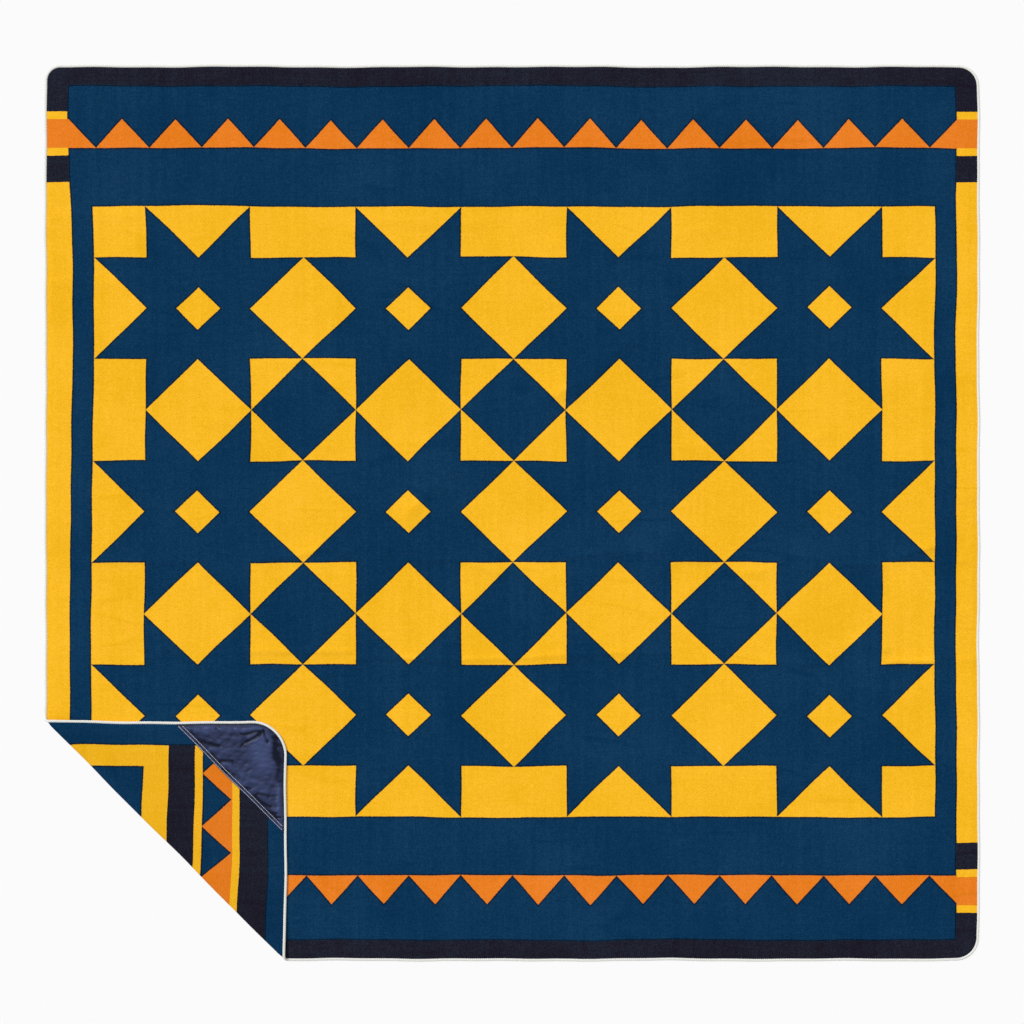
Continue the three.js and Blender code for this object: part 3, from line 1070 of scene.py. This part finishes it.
def thread_material(name, colour, gap_shade_colour, attribute, count):
    """Without an attribute to read, the thread is one plain strand."""
    material, tree, sockets = new_material(name, roughness=0.8, shine=0.15)
    along, around = 0.5, 0.0
    if attribute:
        along, around, _ = split(tree, read_attribute(tree, attribute))
    place = read_attribute(tree, "flat")
    made = use_group(tree, strands, Along=along, Count=count, Place=place)
    body = times(tree, colour, span(tree, made["Tone"], 0.3, 0.7, 0.82, 1.06))
    # painted shade: the stitches' sides a touch darker
    rim = span(tree, calc(tree, "ABSOLUTE", around), 0.55, 1.0, 1.0, 0.97)
    body = times(tree, body, rim)
    # painted shade in the gaps between stitches
    shade = calc(tree, "MULTIPLY", made["Gap"], GAP_SHADE)
    wire(tree, sockets["Base Color"], mixed(tree, "MIX", shade, body, gap_shade_colour))
    sockets["Sheen Weight"].default_value = 0.05
    add_bump(tree, sockets, made["Height"], distance=0.0004, strength=0.6)
    return material


# the second colour is the painted shade between stitches
edge_thread = thread_material("edge thread", CREAM, light_of(150, 152, 150), "thread", 3.0)
edge.data.materials.append(edge_thread)
print("thread material ready")

# %% [markdown]
# ## The corner patch
#
# The patch is thin nylon, cut to a right-angled triangle with its corner rounded like the
# blanket's. Its short sides are caught under the overlocking, and its long side is held by two
# rows of topstitching. Nylon doesn't shrink as wool does, so between its seams it stands off the
# cloth in soft puffs with sharp folds between them, and close to a seam it gathers into ripples.
# The large ones are rows of a table, and many small waves are drawn by lot with a fixed seed.

# %% The patch's shape
PATCH_PITCH = 0.0014
PATCH_EDGE_LINES = [0.0058, 0.0074, 0.0095, 0.0120]  # in from the blanket's edge
PATCH_LIFT = 0.0003
PATCH_THICKNESS = 0.0005
STAND_OFF = 0.0015  # the nylon's usual height off the cloth
CRUMPLE = 0.00032
CRUMPLE_WAVES, CRUMPLE_EVEN = 40, 0.072  # divided by the second, their sum varies by about 1
SEAM_EASE = 0.009  # the nylon rises to its full height over this distance from a seam
# waves that keep the folds from running straight
BENT_IN_U = [(0.0016, (0, 111, 1.0)), (0.0012, (167, 71, 0))]
BENT_IN_V = [(0.0018, (125, 0, 2.0)), (0.0012, (-91, 167, 0))]
# a strip of short ripples beside the seam at v = 0
SIDE_AT, SIDE_HALF, SIDE_RIPPLE = 0.012, 0.008, 0.00022
WRINKLES = [
    # from u, from v, to u, to v, high (below 0 for a fold), half; in millimetres, where u and v
    # are the distances from the blanket's two edges
    (46, 62, 92, 48, 1.9, 22),
    (28, 40, 60, 36, 0.7, 9),
    (18, 108, 19, 58, 1.7, 4.5),
    (17, 196, 19, 124, 1.2, 7),
    (18, 168, 26, 172, 1.2, 5),
    (40, 162, 44, 150, 0.9, 5),
    (62, 165, 66, 120, 0.7, 7),
    (90, 138, 95, 122, 2.0, 5),
    (110, 100, 150, 50, 0.7, 13),
    (128, 106, 132, 95, 0.9, 5),
    (120, 18, 150, 16, 0.8, 7),
    (150, 15, 228, 11, 1.9, 7),
    (186, 30, 196, 22, 1.0, 4),
    (22, 49, 31, 58, -3.2, 3.5),
    (31, 58, 43, 86, -2.9, 3.2),
    (43, 86, 50, 97, -1.8, 4),
    (25, 58, 26, 98, -2.1, 3.2),
    (28, 47, 43, 44, -2.0, 3),
    (36, 28, 85, 19, -2.4, 7),
    (85, 19, 130, 15, -1.4, 6),
    (50, 178, 52, 148, -2.0, 4.2),
    (43, 192, 46, 184, -1.8, 5),
    (34, 170, 40, 156, -1.2, 3.5),
    (24, 206, 36, 192, -1.0, 4),
    (16, 152, 22, 144, -1.4, 3.2),
    (72, 162, 88, 142, -1.5, 6),
    (84, 138, 87, 116, -1.9, 3.2),
    (102, 142, 112, 126, -1.8, 4),
    (118, 118, 121, 98, -1.2, 3.5),
    (140, 96, 147, 78, -1.2, 3.5),
    (166, 68, 182, 50, -1.9, 5),
    (157, 62, 160, 36, -1.1, 3.2),
    (180, 46, 185, 34, -1.5, 3.2),
    (192, 46, 199, 24, -3.2, 3),
    (204, 32, 208, 14, -2.8, 2.6),
    (213, 22, 218, 10, -2.1, 2.4),
]


def patch_sides(points):
    """Distances of flat points from the blanket's two edges and from the patch's long side."""
    u, v = points[:, 0] + WIDTH / 2, points[:, 1] + LENGTH / 2
    return u, v, PATCH_LEG - u - v


def crumple(u, v):
    """Small uneven ripples, added up from many that differ in length and slant."""
    dice = np.random.default_rng(11)
    total = np.zeros(len(u))
    for _ in range(CRUMPLE_WAVES):
        slant = dice.normal(-0.25, 0.5)
        length = dice.uniform(0.007, 0.022)
        along = (u * math.cos(slant) + v * math.sin(slant)) / length
        total += length * np.sin(2 * math.pi * (along + dice.uniform()))
    return total / CRUMPLE_EVEN


def relief_at(points):
    """How far the nylon would stand off the cloth if no seam held it down."""
    u, v, _ = patch_sides(points)
    bent = points.copy()
    bent[:, 0] += waves(BENT_IN_U, u, v)
    bent[:, 1] += waves(BENT_IN_V, u, v)
    relief = STAND_OFF + CRUMPLE * crumple(u, v)
    flat_corner = np.array([-WIDTH / 2, -LENGTH / 2]) * 1000
    for row in WRINKLES:
        placed = (*(row[0:2] + flat_corner), *(row[2:4] + flat_corner))
        relief += row[4] / 1000 * np.exp(-((distance_to(placed, bent) * 1000 / row[5]) ** 2))
    at_side = np.exp(-(((v - SIDE_AT) / SIDE_HALF) ** 2)) * smoothstep(u, 0.120, 0.150)
    return relief + SIDE_RIPPLE * at_side * np.sin(870 * u + 2 * np.sin(111 * u))


def pucker_at(points):
    """How far the nylon stands off the cloth."""
    _, _, to_long_side = patch_sides(points)
    from_seam = np.minimum(inset_of(points), to_long_side * DIAGONAL) - EDGE_WIDTH
    return np.maximum(relief_at(points), 0) * smoothstep(from_seam, 0, SEAM_EASE)


patch_lines = list(PATCH_EDGE_LINES)
extend_to(patch_lines, PATCH_LEG, PATCH_PITCH)
patch_columns, patch_rows = np.array(patch_lines) - WIDTH / 2, np.array(patch_lines) - LENGTH / 2
patch = add_ruled_grid("corner_patch_nylon", patch_columns, patch_rows)
put_points(patch, round_corners(points_of(patch)))
cut_across(patch, [PATCH_LEG * DIAGONAL], clear=True)
give_thickness(patch, PATCH_THICKNESS)


def on_reverse(points, above):
    """Flat points carried onto the blanket's underside, and their height off it."""
    pressed = pinch(np.column_stack([points[:, 0:2], np.zeros(len(points))]))
    return np.column_stack([points[:, 0:2], pressed - above])


flat_patch = points_of(patch)
write_attribute(patch, "flat", flat_patch)
# the nylon's material paints its light and shade from the relief and the inset
relief_and_inset = np.column_stack([relief_at(flat_patch), inset_of(flat_patch), flat_patch[:, 2]])
write_attribute(patch, "relief", relief_and_inset * 1000)
above_cloth = PATCH_LIFT + pucker_at(flat_patch) - flat_patch[:, 2]
put_points(patch, bend(on_reverse(flat_patch, above_cloth)))
shade_smooth(patch)
print("patch:", triangles_of(patch), "triangles")

# %% [markdown]
# ## Nylon
#
# Nylon is woven so finely that it reads as a smooth skin, but not a mirror: its roughness is
# middling, so the light spreads over each puff as a soft sheen. A very fine weave goes into the
# bump. Light and shade are also painted into its colour along the relief: a painted highlight on
# a puff, painted shade in a fold, and the deepest painted shade at the seams.

# %% The nylon material
def nylon_material():
    material, tree, sockets = new_material("patch nylon", roughness=0.42, shine=0.2)
    place = read_attribute(tree, "flat")
    warp, weft = (ridges(tree, place, way, 330.0).outputs["Fac"] for way in "XY")
    weave = calc(tree, "MULTIPLY", warp, weft)
    cloudy = noise(tree, place, 28.0, 3.0)
    grain = noise(tree, place, 420.0, 2.0)
    relief, inset, _ = split(tree, read_attribute(tree, "relief"))
    # painted light and shade from the relief: pale on a puff, dark in a fold; grain and clouds vary
    # it at random
    tone = add_centred(tree, span(tree, relief, -0.5, 3.8), grain, 0.5)
    tone = add_centred(tree, tone, cloudy, 0.2)
    colour = mixed(tree, "MIX", tone, light_of(0, 5, 30), light_of(58, 70, 110))
    # painted shade along the seams, where the nylon runs under the overlocking
    colour = times(tree, colour, span(tree, inset, 7.0, 11.0, 0.45, 1.0))
    wire(tree, sockets["Base Color"], colour)
    wire(tree, sockets["Roughness"], span(tree, cloudy, 0.3, 0.7, 0.38, 0.46))
    height = calc(tree, "MULTIPLY_ADD", weave, 0.25, grain)
    add_bump(tree, sockets, height, distance=0.0003, strength=0.25)
    return material


patch.data.materials.append(nylon_material())
print("nylon ready")

# %% [markdown]
# ## Topstitching
#
# Two rows of lockstitch run along the patch's long side, a quarter of an inch apart, as a
# twin-needle machine sews. One stitch is a short thread that comes up through the nylon, lies
# on it and goes down again: a six-sided tube that is bent down at its ends.

# %% Two rows of stitches
TOP_STITCH = 0.0041
THREAD_RADIUS = 0.0006
THREAD_LENGTH = 0.0037
THREAD_TIP = 0.35  # in thread radii
THREAD_STEPS = [
    # how far along, as a share of the length, and how much thicker than the step before
    (0.12, 2.6),
    (0.26, 1.1),
    (0.24, 1.0),
    (0.26, 0.91),
    (0.12, 0.385),
]
ARCH, SUNK = 0.8, 0.5  # in thread radii
SEAM_ROWS = [0.0018, 0.0082]  # in from the long side
ROW_END = 0.0085  # in from the blanket's edge


def sew_row(name, from_long_side):
    """A row of stitches on the patch, as far as the overlocking at both ends."""
    run = (PATCH_LEG * DIAGONAL - from_long_side) * 2 - 2 * ROW_END / DIAGONAL
    count = int(run / TOP_STITCH)
    steps = [(rise * THREAD_LENGTH, grow) for rise, grow in THREAD_STEPS]
    piece = add_tube(name, 6, THREAD_TIP, steps, fill="NGON")
    close_up(piece)
    repeat_upwards(piece, count, TOP_STITCH)
    thread = points_of(piece)
    along = thread[:, 2] - (count - 1) * TOP_STITCH / 2 - THREAD_LENGTH / 2
    across = thread[:, 0] * THREAD_RADIUS
    in_stitch = (thread[:, 2] % TOP_STITCH) / THREAD_LENGTH * 2 - 1
    arch = THREAD_RADIUS * (ARCH * (1 - in_stitch**4) - SUNK)
    inwards = from_long_side + across
    foot = PATCH_LEG / 2 - inwards * DIAGONAL
    flat = np.column_stack([
        foot + along * DIAGONAL - WIDTH / 2,
        foot - along * DIAGONAL - LENGTH / 2,
        np.zeros(len(thread)),
    ])
    above = PATCH_LIFT + PATCH_THICKNESS + pucker_at(flat) + arch + thread[:, 1] * THREAD_RADIUS
    write_attribute(piece, "flat", flat)
    put_points(piece, bend(on_reverse(flat, above)))
    return piece


stitch_rows = [sew_row(f"topstitch_{i + 1}", place) for i, place in enumerate(SEAM_ROWS)]
select_only(stitch_rows[0])
stitch_rows[1].select_set(True)
bpy.ops.object.join()
topstitch = bpy.context.object
topstitch.name = "patch_topstitch"
bpy.ops.object.shade_smooth()
topstitch.data.materials.append(
    thread_material("topstitch thread", TOPSTITCH, light_of(120, 122, 150), None, 1.0)
)
print("topstitch:", triangles_of(topstitch), "triangles")

# %% [markdown]
# ## The pieces on the blanket's body
#
# Each piece rides on the blanket's one body, and the cloth, edge and patch hide the solids they stand
# for.

# %% Riding on the body, with the solids hidden
for piece, node, slot in [
    (cloth, "cloth", "wool_cloth"),
    (edge, "binding", "edge_thread"),
    (patch, "corner_patch", "patch_nylon"),
]:
    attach(piece, "root")
    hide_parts(node)
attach(topstitch, "root")

# %% [markdown]
# ## Floor, light and camera
#
# The blanket was pictured on a white ground from straight above, with a light so even that it
# leaves hardly a shadow. So the sky gives most of the light here, and a broad sun from the upper
# left gives the rest, which is enough to show the nap and the creases. The ground is dark by
# itself but glows, so it stays pale and even, and a shadow hardly shows on it. Blender's Standard
# view keeps the yarn colours as they are.
#
# The camera is far off with a long lens, as such pictures are taken, so the edges stay straight.

# %% The floor and the light
FLOOR_GLOW = 0.96
bpy.ops.object.select_all(action="DESELECT")
bpy.ops.mesh.primitive_plane_add(size=16, location=(0, 0, -0.0006))
floor = newly_added("floor")
floor_material, _, floor_sockets = new_material("pale floor", roughness=0.9, shine=0.0)
floor_sockets["Base Color"].default_value = light_of(60, 60, 60)
floor_sockets["Emission Color"].default_value = PAPER
floor_sockets["Emission Strength"].default_value = FLOOR_GLOW
floor.data.materials.append(floor_material)

SKY = 0.50
SUN = 2.27
scene = bpy.context.scene
scene.world = bpy.data.worlds.new("studio")
scene.world.use_nodes = True
sky = scene.world.node_tree.nodes["Background"]
sky.inputs["Color"].default_value = (1, 1, 1, 1)
sky.inputs["Strength"].default_value = SKY

bpy.ops.object.light_add(type="SUN", location=(-2.4, 1.8, 3.2))
sun = newly_added("broad_light")
sun.data.energy = SUN
sun.data.angle = math.radians(28)
sun.rotation_euler = (math.radians(-30), math.radians(-36), 0)
scene.view_settings.view_transform = "Standard"
print("light set")

# %% The camera
MM_TO_PIXEL = 2.168
PICTURE = 1024
LENS = 100.0
SENSOR = 36.0
VIEW_WIDTH = PICTURE * MM_TO_PIXEL / 1000
AIM = (-0.0001, 0.0020)

bpy.ops.object.camera_add(
    location=(*AIM, THICKNESS + VIEW_WIDTH * LENS / SENSOR), rotation=(0, 0, 0)
)
camera = newly_added("camera")
camera.data.lens = LENS
camera.data.sensor_width = SENSOR
scene.camera = camera
print("the camera is", round(camera.location.z, 2), "m up and sees", round(VIEW_WIDTH, 3), "m")
